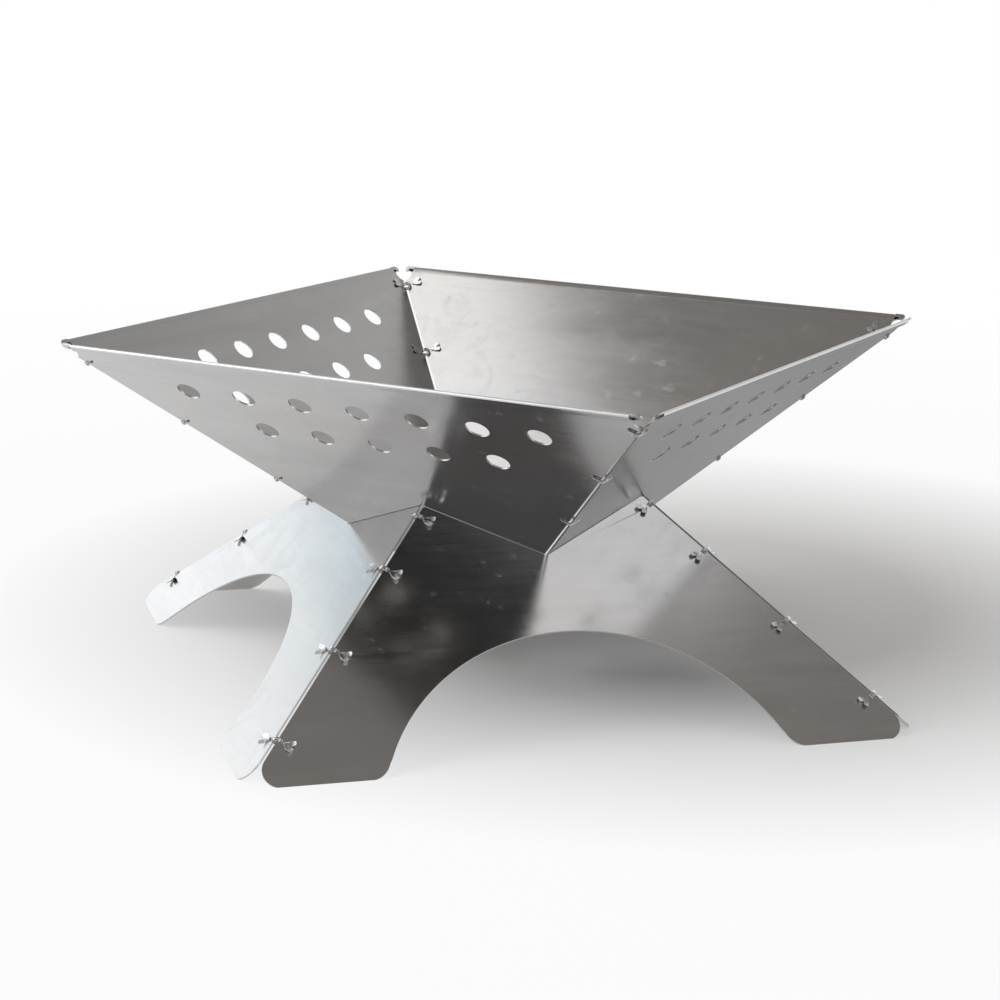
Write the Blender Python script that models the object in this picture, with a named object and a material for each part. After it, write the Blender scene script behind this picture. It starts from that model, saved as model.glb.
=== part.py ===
"""Folding sheet-steel fire pit: a square bowl of four panels that rests in a base of four arched panels.

Units are metres and +Z is up. The origin is the middle of the footprint, on the ground.
Each panel's own frame starts at the point where its pyramid's four outer faces would meet:
u runs across the panel, v down its middle line and w out of its outer face, at w = 0.
"""
import math

import bmesh
import bpy
from mathutils import Matrix, Vector

MM = 0.001

# Sheets
BOWL_SHEET = 1.2 * MM
BASE_SHEET = 1.2 * MM
BOWL_SLOPE = math.radians(43.4)
BASE_SLOPE = math.radians(42.7)

# Overall
HEIGHT = 238.2 * MM
RIM_HALF = 218.5 * MM
GROUND_HALF = 224.1 * MM
BOTTOM_HALF = 30.0 * MM
SEAT_GAP = 0.3 * MM

# Hinge lines: the axis lies inside the inner faces, and the sheet edges stand back from it
AXIS_INSET = 0.9 * MM
EDGE_BACK = 0.4 * MM
NOTCH_CLEAR = 0.3 * MM
OPEN_EDGE_EXTRA = 3.2 * MM

# Split pins
WIRE_WIDE = 1.2 * MM
WIRE_THICK = 1.0 * MM
EYE_GAP = 0.4 * MM
BASE_EYE_RADIUS = 3.2 * MM
PIN_CLEAR = 0.3 * MM
PIN_REACH = 5.6 * MM
PIN_HOLE_CLEAR = 0.35 * MM
TAB_LONG = 7.2 * MM
TAB_WIDE = 3.6 * MM
TAB_THICK = 0.6 * MM
TAB_SPLAY = math.radians(27.0)
TAB_ROOT_SHARE = 0.62
PIN_HOLE_POINTS = 8
EYE_POINTS = 10
EYE_HOLE_POINTS = 8

# Where the pins sit: shares of the visible edge, plus one close under the top tip of each leg
BOWL_PIN_SHARES = (0.113, 0.431, 0.747)
BASE_PIN_SHARES = (0.234, 0.526, 0.83)
TIP_PIN_BELOW = 8.5 * MM

# Bowl rim
HEM_HIGH = 5.8 * MM
HEM_THICK = 1.3 * MM
HEM_ROUND = 1.0 * MM
HEM_STOP = 15.0 * MM
HEM_ROUND_POINTS = 4
EAR_ROUND = 2.6 * MM
EAR_LONG = 8.5 * MM
EAR_BACK = 2.3 * MM
RELIEF_LONG = 10.0 * MM
RELIEF_DEEP = 5.0 * MM
RELIEF_POINTS = 6

# Vent holes
VENT_RADIUS = 8.0 * MM
VENT_PITCH = 43.3 * MM
VENT_COUNTS = (7, 5)
VENT_DOWN = (40.2 * MM, 77.4 * MM)
VENT_POINTS = 14

# Base arch and feet
ARCH_RADIUS = 141.5 * MM
ARCH_HIGH = 96.5 * MM
ARCH_POINTS = 22
ARCH_BLEND = 1.5 * MM
FOOT_INNER_ROUND = 16.0 * MM
FOOT_OUTER_ROUND = 12.0 * MM
TIP_ROUND = 1.6 * MM
GROUND_TRIM = 0.5 * MM

STEEL = (0.62, 0.61, 0.60, 1.0)
SHEET_ROUGH = 0.25
PIN_STEEL = (0.70, 0.70, 0.71, 1.0)
PIN_ROUGH = 0.3

# Closeness within which points count as one, and below which a length counts as nothing
MERGE = 1e-6
TINY = 1e-9


class Pyramid:
    """Four equal sheets about the Z axis: the bowl stands on its point and the base hangs from it."""

    def __init__(self, slope, half, z_half, sheet, sign, turn):
        self.slope, self.sheet, self.sign, self.turn = slope, sheet, sign, turn
        self.apex_z = z_half - sign * half * math.tan(slope)
        self.long = half / math.cos(slope)
        self.gamma = math.atan(math.cos(slope))
        self.dihedral = math.pi - math.acos(math.cos(slope) ** 2)
        self.depth = sheet + AXIS_INSET
        self.axis_in = self.depth / math.tan(self.dihedral / 2)
        self.edge_in = self.axis_in + EDGE_BACK

    def frame(self, k):
        a = self.turn + k * math.pi / 2
        out = Vector((math.sin(a), -math.cos(a), 0))
        v = out * math.cos(self.slope) + Vector((0, 0, self.sign * math.sin(self.slope)))
        w = out * math.sin(self.slope) - Vector((0, 0, self.sign * math.cos(self.slope)))
        u = v.cross(w)
        m = Matrix((u, v, w)).transposed().to_4x4()
        m.translation = Vector((0, 0, self.apex_z))
        return m

    def edge(self, side, r, inward):
        """A point in the sheet plane at r along a slanting edge and inward of it."""
        return Vector((side * (math.sin(self.gamma) * r - math.cos(self.gamma) * inward),
                       math.cos(self.gamma) * r + math.sin(self.gamma) * inward, 0))

    def edge_r(self, v, inward):
        return (v - math.sin(self.gamma) * inward) / math.cos(self.gamma)


BOWL = Pyramid(BOWL_SLOPE, RIM_HALF, HEIGHT, BOWL_SHEET, 1, 0.0)
BASE = Pyramid(BASE_SLOPE, GROUND_HALF, 0.0, BASE_SHEET, -1, math.pi / 4)
BOWL_EYE_RADIUS = BOWL.depth + PIN_CLEAR + WIRE_THICK
PIN_OFFSET = (WIRE_WIDE + EYE_GAP) / 2


def crossing(z_low, slope_low, z_high, slope_high):
    """Radius and height where a line up and out from z_low meets a line down and out from z_high."""
    r = (z_high - z_low) / (slope_low + slope_high)
    return r, z_low + slope_low * r


ROOT2 = math.sqrt(2)
PIVOT_ALONG = 250.0 * MM
TIP_R, TIP_Z = crossing(BOWL.apex_z, math.tan(BOWL_SLOPE), BASE.apex_z, math.tan(BASE_SLOPE) / ROOT2)
DIP_R, DIP_Z = crossing(BOWL.apex_z, math.tan(BOWL_SLOPE) / ROOT2, BASE.apex_z, math.tan(BASE_SLOPE))


def along(pyramid, r_flat, z):
    return math.hypot(r_flat, z - pyramid.apex_z)


RIM_ALONG = along(BOWL, RIM_HALF * ROOT2, HEIGHT)
DIP_ALONG = along(BOWL, DIP_R, DIP_Z)
TIP_ALONG = along(BASE, TIP_R, TIP_Z)
FOOT_ALONG = along(BASE, GROUND_HALF * ROOT2, 0.0)
BOWL_PINS = [RIM_ALONG + (DIP_ALONG - RIM_ALONG) * s for s in BOWL_PIN_SHARES]
BASE_PINS = [TIP_ALONG + (FOOT_ALONG - TIP_ALONG) * s for s in BASE_PIN_SHARES]
TIP_PIN = TIP_ALONG + TIP_PIN_BELOW
TIP_PIN_PANELS = ("front", "back")


def collection(name, hidden=False):
    c = bpy.data.collections.new(name)
    bpy.context.scene.collection.children.link(c)
    c.hide_render = hidden
    return c


def material(name, colour, rough):
    m = bpy.data.materials.new(name)
    m.use_nodes = True
    b = m.node_tree.nodes["Principled BSDF"]
    b.inputs["Base Color"].default_value = colour
    b.inputs["Metallic"].default_value = 1.0
    b.inputs["Roughness"].default_value = rough
    return m


def outline_mesh(name, loops, thick):
    """A closed plate from flat loops, the first the outside, spread to both sides of its own plane."""
    curve = bpy.data.curves.new(name, "CURVE")
    curve.dimensions = "2D"
    curve.fill_mode = "BOTH"
    curve.extrude = thick / 2
    for pts in loops:
        s = curve.splines.new("POLY")
        s.points.add(len(pts) - 1)
        for p, q in zip(s.points, pts):
            p.co = (q[0], q[1], 0, 1)
        s.use_cyclic_u = True
    obj = bpy.data.objects.new(name, curve)
    bpy.context.scene.collection.objects.link(obj)
    mesh = bpy.data.meshes.new_from_object(obj.evaluated_get(bpy.context.evaluated_depsgraph_get()))
    bpy.data.objects.remove(obj)
    bpy.data.curves.remove(curve)
    bm = bmesh.new()
    bm.from_mesh(mesh)
    bmesh.ops.remove_doubles(bm, verts=bm.verts, dist=MERGE)
    bmesh.ops.recalc_face_normals(bm, faces=bm.faces)
    bm.to_mesh(mesh)
    bm.free()
    return mesh


def cut(mesh, tool_mesh, operation):
    """The mesh after an exact Boolean with another mesh."""
    a = bpy.data.objects.new("work", mesh)
    b = bpy.data.objects.new("tool", tool_mesh)
    b.display_type = "WIRE"
    CUTTERS.objects.link(a)
    CUTTERS.objects.link(b)
    mod = a.modifiers.new("cut", "BOOLEAN")
    mod.solver, mod.operation, mod.object = "EXACT", operation, b
    out = bpy.data.meshes.new_from_object(a.evaluated_get(bpy.context.evaluated_depsgraph_get()))
    bpy.data.objects.remove(a)
    bpy.data.objects.remove(b)
    return out


def ring(cx, cy, radius, n, start=0.0):
    angles = [start + 2 * math.pi * i / n for i in range(n)]
    return [(cx + radius * math.cos(a), cy + radius * math.sin(a)) for a in angles]


def rounded(prev, corner, after, radius, n=4):
    """Points of a fillet at a corner of an outline."""
    a, b = (prev - corner).normalized(), (after - corner).normalized()
    half = a.angle(b) / 2
    centre = corner + (a + b).normalized() * radius / math.sin(half)
    p, q = corner + a * radius / math.tan(half), corner + b * radius / math.tan(half)
    e0, e1 = p - centre, q - centre
    sweep = e0.angle(e1)
    turn = 1 if e0.x * e1.y - e0.y * e1.x > 0 else -1
    pts = []
    for i in range(n + 1):
        t = turn * sweep * i / n
        pts.append(centre + Vector((e0.x * math.cos(t) - e0.y * math.sin(t),
                                    e0.x * math.sin(t) + e0.y * math.cos(t), 0)))
    return pts


def notch_depth(eye_radius):
    return math.sqrt(eye_radius ** 2 - AXIS_INSET ** 2) + NOTCH_CLEAR


def notches(pyramid, side, stations, deep):
    """Edge points, from the apex outward, with a slot at each pin station."""
    half = WIRE_WIDE + EYE_GAP / 2 + NOTCH_CLEAR
    low, high = pyramid.edge_in, pyramid.axis_in + deep
    pts = []
    for r in sorted(stations):
        for dr, inward in ((-half, low), (-half, high), (half, high), (half, low)):
            pts.append(pyramid.edge(side, r + dr, inward))
    return pts


def pin_holes(pyramid, side, stations, reach):
    loops = []
    radius = math.hypot(WIRE_WIDE, WIRE_THICK) / 2 + PIN_HOLE_CLEAR
    for r in stations:
        c = pyramid.edge(side, r + side * PIN_OFFSET, pyramid.axis_in + reach)
        loops.append(ring(c.x, c.y, radius, PIN_HOLE_POINTS, math.pi / PIN_HOLE_POINTS))
    return loops


def bowl_outline(side, deep):
    """One side of a bowl panel's outline, from the bottom opening up to the rim."""
    low = BOWL.edge_in
    bottom = BOWL.edge(side, BOWL.edge_r(BOTTOM_HALF / math.cos(BOWL_SLOPE), low), low)
    tip_r = BOWL.edge_r(BOWL.long, low)
    pts = [bottom] + notches(BOWL, side, BOWL_PINS, deep)
    mid = tip_r - EAR_LONG - RELIEF_LONG / 2
    for i in range(RELIEF_POINTS + 1):
        a = math.pi * i / RELIEF_POINTS
        back = EAR_BACK * i / RELIEF_POINTS
        r = mid - RELIEF_LONG / 2 * math.cos(a)
        pts.append(BOWL.edge(side, r, low + back + RELIEF_DEEP * math.sin(a)))
    tip = BOWL.edge(side, BOWL.edge_r(BOWL.long, low + EAR_BACK), low + EAR_BACK)
    pts += rounded(pts[-1], tip, Vector((0, BOWL.long, 0)), EAR_ROUND)
    return pts


def hem_mesh():
    """The fold along the rim: a bar with a rounded top, laid on the outside of the sheet."""
    top = BOWL.long
    flat = [(top - HEM_HIGH, -BOWL_SHEET / 2), (top - HEM_HIGH, HEM_THICK), (top - HEM_ROUND, HEM_THICK)]
    for i in range(1, HEM_ROUND_POINTS + 1):
        a = math.pi / 2 * i / HEM_ROUND_POINTS
        flat.append((top - HEM_ROUND + HEM_ROUND * math.sin(a), HEM_THICK - HEM_ROUND * (1 - math.cos(a))))
    flat.append((top, -BOWL_SHEET / 2))
    mesh = outline_mesh("hem", [flat], 2 * (RIM_HALF - HEM_STOP))
    mesh.transform(Matrix(((0, 0, 1, 0), (1, 0, 0, 0), (0, 1, 0, 0), (0, 0, 0, 1))))
    return mesh


def bowl_panel_mesh(name, frame, sides):
    right, left = bowl_outline(1, sides[0][1]), bowl_outline(-1, sides[1][1])
    loops = [right + left[::-1]]
    for side, deep, reach, carried in sides:
        loops += pin_holes(BOWL, side, carried, reach)
    if name != "back":
        for count, down in zip(VENT_COUNTS, VENT_DOWN):
            for i in range(count):
                u = (i - (count - 1) / 2) * VENT_PITCH
                loops.append(ring(u, BOWL.long - down, VENT_RADIUS, VENT_POINTS))
    mesh = outline_mesh("bowl", loops, BOWL_SHEET)
    mesh.transform(Matrix.Translation((0, 0, -BOWL_SHEET / 2)))
    return cut(mesh, hem_mesh(), "UNION")


def seat_line():
    """The base's upper edge as a u + b v = c in the sheet plane, clear of the bowl's outer face."""
    m = BASE.frame(0)
    bowl = BOWL.frame(0)
    normal = bowl.to_3x3() @ Vector((0, 0, 1))
    local = m.to_3x3().transposed() @ normal
    offset = normal.dot(m.translation - bowl.translation)
    keep = SEAT_GAP + max(0.0, BASE_SHEET * local.z)
    return local.x, local.y, keep - offset


def base_outline(side, deep):
    """One side of a base panel's outline, from the middle dip out over the tip and down to the foot."""
    a, b, c = seat_line()
    low = BASE.edge_in
    dip = Vector((0, c / b, 0))
    p0, p1 = BASE.edge(side, 0, low), BASE.edge(side, 1, low)
    a *= side
    slide = p1 - p0
    r = (c - a * p0.x - b * p0.y) / (a * slide.x + b * slide.y)
    tip = BASE.edge(side, r, low)
    foot_v = BASE.long + GROUND_TRIM
    foot = BASE.edge(side, BASE.edge_r(foot_v, low), low)
    centre = BASE.long - ARCH_HIGH + ARCH_RADIUS
    inner_u = math.sqrt(ARCH_RADIUS ** 2 - (centre - foot_v) ** 2)
    inner = Vector((side * inner_u, foot_v, 0))
    start = math.atan2(inner_u, centre - foot_v)
    arch = []
    for i in range(ARCH_POINTS // 2 + 1):
        t = start * i / (ARCH_POINTS // 2)
        arch.append(Vector((side * ARCH_RADIUS * math.sin(t), centre - ARCH_RADIUS * math.cos(t), 0)))
    up = inner + Vector((-side * math.cos(start), -math.sin(start), 0))
    pts = [dip] if side > 0 else []
    pts += rounded(dip, tip, foot, TIP_ROUND, 3)
    pts += notches(BASE, side, [TIP_PIN] + BASE_PINS, deep)
    pts += rounded(tip, foot, inner, FOOT_OUTER_ROUND, 5)
    fillet = rounded(foot, inner, up, FOOT_INNER_ROUND, 5)
    keep_v = fillet[-1].y
    pts += fillet
    pts += [p for p in reversed(arch) if p.y < keep_v - ARCH_BLEND and (side > 0 or p.x < -TINY)]
    return pts


def base_panel_mesh(name, frame, sides):
    right, left = base_outline(1, sides[0][1]), base_outline(-1, sides[1][1])
    loops = [right + left[::-1]]
    for side, deep, reach, carried in sides:
        loops += pin_holes(BASE, side, carried, reach)
    mesh = outline_mesh("base", loops, BASE_SHEET)
    mesh.transform(Matrix.Translation((0, 0, -BASE_SHEET / 2)))
    bm = bmesh.new()
    bmesh.ops.create_cube(bm, size=1.0)
    bmesh.ops.transform(bm, matrix=frame.inverted() @ Matrix.Translation((0, 0, -0.5)), verts=bm.verts)
    ground = bpy.data.meshes.new("ground")
    bm.to_mesh(ground)
    bm.free()
    return cut(mesh, ground, "DIFFERENCE")


def eye_outline(radius, arm_low, arm_high, reach, leg_end):
    """Side view of a pin, p inward and n outward of the hinge axis: eye, arm and leg."""
    half = WIRE_THICK / 2
    a_low, a_high = math.asin(arm_low / radius), math.asin(min(1.0, arm_high / radius))
    top = arm_high >= radius - TINY
    sweep = 2 * math.pi - (a_high - a_low)
    pts = []
    for i in range(EYE_POINTS + 1):
        t = a_high + sweep * i / EYE_POINTS
        pts.append((radius * math.cos(t), radius * math.sin(t)))
    if top:
        pts[0] = (0.0, radius)
    turn = half if leg_end > arm_high else -half
    pts += [(reach + turn, arm_low), (reach + turn, leg_end)]
    pts += [(reach - turn, leg_end), (reach - turn, arm_high)]
    return pts


def tab_outline(reach):
    """The two splayed tabs, seen square to the sheet."""
    half = TAB_WIDE / 2
    pts = []
    for s in (1, -1):
        d = Vector((math.cos(TAB_SPLAY), s * math.sin(TAB_SPLAY), 0))
        base = Vector((reach, 0, 0))
        n = Vector((-math.sin(TAB_SPLAY), s * math.cos(TAB_SPLAY), 0)) * half
        outer0 = base + n * TAB_ROOT_SHARE
        tip_out, tip_in = base + d * TAB_LONG + n, base + d * TAB_LONG - n
        side_pts = [outer0, tip_out, tip_in]
        pts += side_pts if s > 0 else side_pts[::-1]
        if s > 0:
            crotch = half / math.sin(TAB_SPLAY)
            pts.append(base + Vector((crotch, 0, 0)))
    return pts


def pin_mesh(radius, arm_low, arm_high, reach, leg_end, tab_n):
    flat = eye_outline(radius, arm_low, arm_high, reach, leg_end)
    hole = ring(0, 0, radius - WIRE_THICK, EYE_HOLE_POINTS, math.pi / EYE_HOLE_POINTS)
    body = outline_mesh("pin", [flat, hole], WIRE_WIDE)
    tabs = outline_mesh("tabs", [[(p.x, p.y) for p in tab_outline(reach)]], TAB_THICK)
    tabs.transform(Matrix.Translation((0, tab_n, 0)) @ Matrix.Rotation(math.pi / 2, 4, "X"))
    return cut(body, tabs, "UNION")


def base_pin(reach):
    """Eye on the hinge line, arm inside the sheet, tabs on the outer face."""
    tab_n = BASE.depth + PIN_CLEAR + TAB_THICK / 2
    return pin_mesh(BASE_EYE_RADIUS, -WIRE_THICK / 2, WIRE_THICK / 2, reach, tab_n, tab_n)


def bowl_pin(reach):
    """Eye reaching out past the outer face, arm outside the sheet, tabs on the inner face."""
    tab_n = AXIS_INSET - PIN_CLEAR - TAB_THICK / 2
    return pin_mesh(BOWL_EYE_RADIUS, BOWL_EYE_RADIUS - WIRE_THICK, BOWL_EYE_RADIUS, reach, tab_n, tab_n)


def pin_matrix(pyramid, side, r, hand):
    """From a pin's own axes, p inward and n outward of the hinge axis, to its panel's frame."""
    p_dir, n_dir = pyramid.edge(side, 0, 1), Vector((0, 0, 1))
    m = Matrix((p_dir, n_dir, p_dir.cross(n_dir))).transposed().to_4x4()
    m.translation = pyramid.edge(side, r + hand * PIN_OFFSET, pyramid.axis_in) - n_dir * pyramid.depth
    return m


def place(name, mesh, frame, pivot, colour, rough, parent=None):
    """An object in the panel's frame, with its origin on its joint's axis."""
    local = frame.inverted() @ pivot
    mesh.transform(Matrix.Translation(-local))
    mesh.name = name
    mesh.materials.clear()
    mesh.materials.append(material(name, colour, rough))
    obj = bpy.data.objects.new(name, mesh)
    PARTS.objects.link(obj)
    matrix = frame.copy()
    matrix.translation = pivot
    if parent is not None:
        obj.parent = parent
        obj.matrix_parent_inverse = parent.matrix_world.inverted()
    obj.matrix_world = matrix
    bpy.context.view_layer.update()
    return obj


def pivot_on(pyramid, k, side):
    """The middle of the hinge line on one side of panel k, in the world."""
    p = pyramid.edge(side, PIVOT_ALONG, pyramid.axis_in)
    p.z = -pyramid.depth
    return pyramid.frame(k) @ p


def build_group(label, pyramid, stations, panel_mesh, make_pin, eye, corner_names, tree):
    """Four panels and the pins that each of them carries."""
    objects = {}
    for name, k, host, host_side in tree:
        frame = pyramid.frame(k)
        carried = list(stations) + ([TIP_PIN] if label == "base" and name in TIP_PIN_PANELS else [])
        sides = []
        for side in (1, -1):
            # The last panel swings past the next one's eyes on the open edge, so its slots run deeper there
            is_open = side == OPEN_SIDES[label][name]
            deep = notch_depth(eye) + (OPEN_EDGE_EXTRA if is_open and name == DEEP_PANEL else 0)
            sides.append((side, deep, PIN_REACH + (OPEN_EDGE_EXTRA if is_open else 0), carried))
        pivot = pivot_on(pyramid, k, host_side)
        mesh = panel_mesh(name, frame, sides)
        panel = place(f"{label}_{name}", mesh, frame, pivot, STEEL, SHEET_ROUGH, objects.get(host))
        objects[name] = panel
        for side, deep, reach, carried in sides:
            corner = corner_names[k % 4] if side == corner_side(pyramid) else corner_names[(k - 1) % 4]
            for i, r in enumerate(carried):
                pin = make_pin(reach)
                pin.transform(pin_matrix(pyramid, side, r, side))
                label_i = "tip" if r == TIP_PIN else str(i + 1)
                pin_name = f"pin_{label}_{name}_{corner}_{label_i}"
                place(pin_name, pin, frame, pivot, PIN_STEEL, PIN_ROUGH, panel)
    return objects


def corner_side(pyramid):
    """The side of a panel, +1 or -1 in u, that faces the next panel round."""
    return 1 if pyramid.sign > 0 else -1


# Which side of each panel faces the hinge line that the joint tree leaves open, or 0
OPEN_SIDES = {
    "bowl": {"front": 0, "right": 1, "back": -1, "left": 0},
    "base": {"front": 0, "right": -1, "back": 1, "left": 0},
}
DEEP_PANEL = "back"


LEGS = ("leg_right", "leg_back", "leg_left", "leg_front")
CORNERS = ("corner_front", "corner_right", "corner_back", "corner_left")
# Each panel with its quarter turn, the panel that carries it and the side on which it hangs from that
BASE_TREE = (("front", 0, None, 1), ("left", 3, "front", -1),
             ("right", 1, "front", 1), ("back", 2, "left", -1))
BOWL_TREE = (("front", 0, None, 1), ("left", 3, "front", 1),
             ("right", 1, "front", -1), ("back", 2, "left", 1))


def main():
    build_group("base", BASE, BASE_PINS, base_panel_mesh, base_pin, BASE_EYE_RADIUS, LEGS, BASE_TREE)
    build_group("bowl", BOWL, BOWL_PINS, bowl_panel_mesh, bowl_pin, BOWL_EYE_RADIUS, CORNERS, BOWL_TREE)


for old in list(bpy.data.objects):
    bpy.data.objects.remove(old)
PARTS = collection("fire_pit")
CUTTERS = collection("cutters", hidden=True)
main()
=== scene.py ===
import math

import bmesh
import bpy
from mathutils import Matrix, Vector


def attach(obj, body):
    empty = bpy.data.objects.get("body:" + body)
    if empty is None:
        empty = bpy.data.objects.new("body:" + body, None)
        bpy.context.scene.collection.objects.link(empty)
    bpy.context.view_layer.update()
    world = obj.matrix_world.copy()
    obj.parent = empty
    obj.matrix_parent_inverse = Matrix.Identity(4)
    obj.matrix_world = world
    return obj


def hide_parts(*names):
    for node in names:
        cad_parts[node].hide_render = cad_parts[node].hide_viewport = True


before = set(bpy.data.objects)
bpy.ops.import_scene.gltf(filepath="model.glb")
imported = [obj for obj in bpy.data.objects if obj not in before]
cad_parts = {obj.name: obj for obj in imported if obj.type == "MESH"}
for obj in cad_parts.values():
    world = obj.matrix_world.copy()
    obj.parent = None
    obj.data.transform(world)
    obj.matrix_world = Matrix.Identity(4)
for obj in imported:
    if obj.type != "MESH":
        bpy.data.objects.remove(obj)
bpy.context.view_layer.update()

MM = 0.001
ROOT2 = math.sqrt(2)

# Lengths, as in the part's source
SHEET = 1.2 * MM
BOWL_SLOPE = math.radians(43.4)
BASE_SLOPE = math.radians(42.7)
HEIGHT = 238.2 * MM
RIM_HALF = 218.5 * MM
GROUND_HALF = 224.1 * MM
BOTTOM_HALF = 30.0 * MM
SEAT_GAP = 0.3 * MM
AXIS_INSET = 0.9 * MM
EDGE_BACK = 0.4 * MM
NOTCH_CLEAR = 0.3 * MM
OPEN_EDGE_EXTRA = 3.2 * MM
WIRE_WIDE = 1.2 * MM
WIRE_THICK = 1.0 * MM
EYE_GAP = 0.4 * MM
BASE_EYE_RADIUS = 3.2 * MM
PIN_CLEAR = 0.3 * MM
PIN_REACH = 5.6 * MM
PIN_HOLE_CLEAR = 0.35 * MM
TAB_LONG = 7.2 * MM
TAB_WIDE = 3.6 * MM
TAB_THICK = 0.6 * MM
TAB_SPLAY = math.radians(27.0)
BOWL_PIN_SHARES = (0.113, 0.431, 0.747)
BASE_PIN_SHARES = (0.234, 0.526, 0.83)
TIP_PIN_BELOW = 8.5 * MM
HEM_HIGH = 5.8 * MM
HEM_OUT = 1.3 * MM
HEM_STOP = 15.0 * MM
EAR_ROUND = 2.6 * MM
EAR_LONG = 8.5 * MM
EAR_BACK = 2.3 * MM
RELIEF_LONG = 10.0 * MM
RELIEF_DEEP = 5.0 * MM
VENT_RADIUS = 8.0 * MM
VENT_PITCH = 43.3 * MM
VENT_COUNTS = (7, 5)
VENT_DOWN = (40.2 * MM, 77.4 * MM)
ARCH_RADIUS = 141.5 * MM
ARCH_HIGH = 96.5 * MM
ARCH_BLEND = 1.5 * MM
FOOT_INNER_ROUND = 16.0 * MM
FOOT_OUTER_ROUND = 12.0 * MM
TIP_ROUND = 1.6 * MM
GROUND_TRIM = 0.5 * MM

# Finish of the pieces in the scene
EDGE_ROUND = 0.16 * MM
PIN_ROUND = 0.24 * MM
GROOVE = 0.1 * MM
SEAM = 0.02 * MM
MERGE = 1e-6
TINY = 1e-9
HEM_LEAN = 0.42 * MM
HEM_TONGUE = 0.6 * MM
SPLIT_GAP = 0.06 * MM
BOWL_TAB_CURL = 0.45 * MM
BASE_TAB_CURL = 1.0 * MM
BASE_TAB_RISE = 1.0 * MM
TAB_ROUND = 0.7 * MM
# Half of the tab's neck, in half widths of the tab: place along it and half width there
TAB_NECK = ((-0.35, 0.62), (0.9, 0.66), (1.6, 1.0))
# The tab stays flat up to this share of its length, and is cut at these to let it curl
TAB_FLAT_SHARE = 0.3
TAB_CUT_SHARES = (0.35, 0.5, 0.65, 0.8, 0.92)
# The bend of a pin's arm into its leg is cut off from this share of half the wire
PIN_BEND_SHARE = 0.3
# How deep the tongue lies inside the sheet, as shares of its thickness from the inner face
TONGUE_SHARES = (0.2, 0.8)

# Steps of the round shapes, and how their edges are rounded
EAR_STEPS = 10
RELIEF_STEPS = 18
HEM_STEPS = 10
VENT_SIDES = 48
ARCH_STEPS = 48
TIP_STEPS = 6
FOOT_OUTER_STEPS = 14
FOOT_INNER_STEPS = 16
PIN_HOLE_SIDES = 20
EYE_STEPS = 30
EYE_HOLE_SIDES = 26
TAB_STEPS = 8
EDGE_SEGMENTS = 2
SHEET_SHARP = math.radians(35)
PIN_SHARP = math.radians(40)

# Faces are sorted by how far their normal stands off the sheet: 0 on a cut edge, 1 on the sheet's face
CUT_EDGE_LEAN = 0.3
FOLD_TOP_LEAN = 0.97

# Which side of a panel has a hinge line that is left open in the tree of joints, or 0 for none
OPEN_SIDES = {
    "bowl": {"front": 0, "right": 1, "back": -1, "left": 0},
    "base": {"front": 0, "right": -1, "back": 1, "left": 0},
}

# First seed of the marks on the steel, so that no two sheets look the same
FIRST_SEED = {"bowl": 1, "base": 5}

# Colours of the steel, from dull to bright where there are two
PLAIN_STEEL = ((0.50, 0.50, 0.505, 1), (0.58, 0.58, 0.585, 1))
CUT_STEEL = ((0.50, 0.50, 0.50, 1), (0.66, 0.65, 0.64, 1))
# The fold top's paler steel is a painted highlight along the rim
BENT_STEEL_PAINTED_HIGHLIGHT = ((0.66, 0.66, 0.665, 1), (0.84, 0.84, 0.845, 1))
WIRE_STEEL = ((0.50, 0.50, 0.52, 1), (0.80, 0.80, 0.81, 1))
# The flattened tabs' paler steel is a painted highlight
FLAT_STEEL_PAINTED_HIGHLIGHT = ((0.74, 0.74, 0.75, 1), (0.90, 0.90, 0.905, 1))
WARM_STEEL = (0.58, 0.555, 0.53, 1)
SMUDGE = (0.36, 0.355, 0.35, 1)
SCRATCH = (0.72, 0.72, 0.72, 1)
SHEET_ROUGH = 0.168

# Camera, where the fit to the photo put it: places in metres, lens and sensor in millimetres
CAMERA_AZIMUTH = math.radians(28.94)
CAMERA_HEIGHT = math.radians(13.49)
CAMERA_ROLL = math.radians(0.99)
CAMERA_TARGET = Vector((0, 0, 0.1167))
CAMERA_DISTANCE = 1.743
CAMERA_LENS = 89.5
CAMERA_SENSOR = 36.0
CAMERA_SHIFT = -0.0018
CAMERA_CLIP = (0.05, 60)

# Floor: a soft shadow a little behind the middle, away from the lamps, and white around it, by
# FLOOR_GLOW from SHADE_FAR on and wholly from FLOOR_FAR on
FLOOR_HALF = 9.0
FLOOR_GREY = (0.80, 0.80, 0.80, 1)
FLOOR_GLOW = 0.92
SHADE_MIDDLE = (0.03, 0.21, 0.0)
SHADE_NEAR, SHADE_FAR = 0.20, 0.54
FLOOR_NEAR, FLOOR_FAR = 0.7, 1.7

# Sky: height on the dome and the colour there
WHITE = (1, 1, 1, 1)
SKY = ((0.0, WHITE), (0.34, WHITE), (0.60, (0.42, 0.41, 0.40, 1)),
       (0.82, (0.27, 0.255, 0.24, 1)), (1.0, (0.24, 0.225, 0.21, 1)))
LAMP_AIM = Vector((0, 0, 0.12))

# Dark card: it starts flat on the floor behind the camera and then stands up
CARD_MIDDLE = math.radians(-72)
CARD_HALF = math.radians(32)
CARD_NEAR = 0.6
CARD_FAR = 2.7
CARD_HIGH = 2.4
CARD_BEND = 0.3
CARD_KNEE = 0.25
CARD_LIFT = 0.002
VELVET = (0.02, 0.02, 0.021, 1)
# Painted light on the dark card: a glow that rises with height, though the card is no lamp
PAINTED_GLOW_LOW, PAINTED_GLOW_HIGH = 0.3, 0.8
PAINTED_GLOW_MOST = 0.10

# Grey card on the floor behind, a painted shadow that stands for the shaded floor in reflections: from
# left to right and from near to far
SHADOW_CARD_ACROSS = (-0.22, 0.40)
SHADOW_CARD_BACK = (0.26, 1.10)
PAINTED_SHADOW_GLOW = (0.32, 0.42)
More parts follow.
